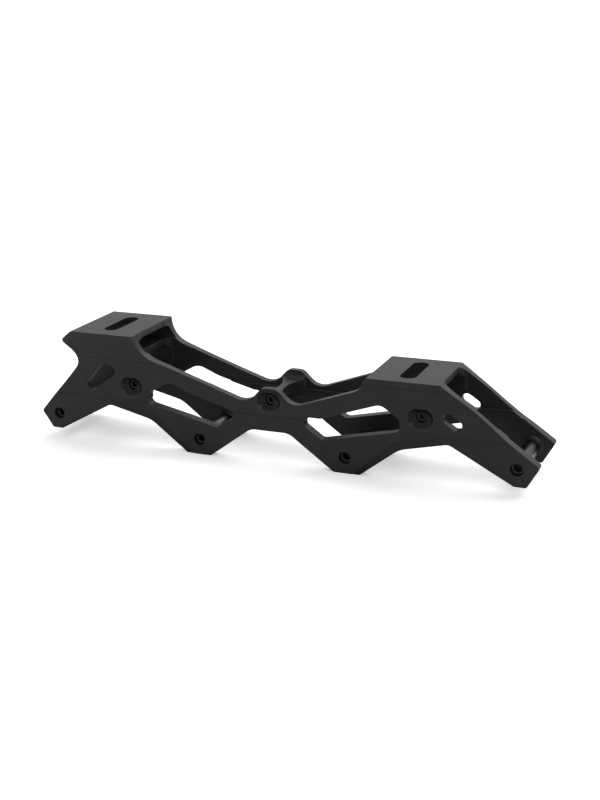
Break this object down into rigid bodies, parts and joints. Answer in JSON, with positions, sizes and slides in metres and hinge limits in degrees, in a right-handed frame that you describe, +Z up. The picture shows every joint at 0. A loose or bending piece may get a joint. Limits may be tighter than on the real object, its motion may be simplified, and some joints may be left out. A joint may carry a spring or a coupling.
{
  "type": "inline skate frame",
  "caption": "Inline skate frame: a milled light-alloy channel with flared walls, arched lugs, lightening windows, heel and toe plates slotted for the boot, and screwed wheel axles.",
  "frame": {"origin": "midway between the end axles, on the mid plane, level with the underside of the middle lugs", "axes": "+X from the heel to the toe, +Y across, to the side of the axles' heads, +Z up"},
  "size_m": [0.2741, 0.0436, 0.0613],
  "materials": {
    "anodised_alloy": "satin black anodised",
    "axle_steel": "bright",
    "screw_steel": "blackened"
  },
  "bodies": {
    "frame": {"frame_body": "anodised_alloy", "heel_screws": "screw_steel", "middle_screws": "screw_steel", "toe_screws": "screw_steel"},
    "rear_axle": {"rear_axle": "axle_steel"},
    "second_axle": {"second_axle": "axle_steel"},
    "third_axle": {"third_axle": "axle_steel"},
    "front_axle": {"front_axle": "axle_steel"}
  },
  "joints": [
    {"name": "rear_axle_draw", "type": "slide", "parent": "frame", "child": "rear_axle", "axis": [0, 1, 0], "range_m": [0, 0.06]},
    {"name": "second_axle_draw", "type": "slide", "parent": "frame", "child": "second_axle", "axis": [0, 1, 0], "range_m": [0, 0.06]},
    {"name": "third_axle_draw", "type": "slide", "parent": "frame", "child": "third_axle", "axis": [0, 1, 0], "range_m": [0, 0.06]},
    {"name": "front_axle_draw", "type": "slide", "parent": "frame", "child": "front_axle", "axis": [0, 1, 0], "range_m": [0, 0.06]}
  ]
}
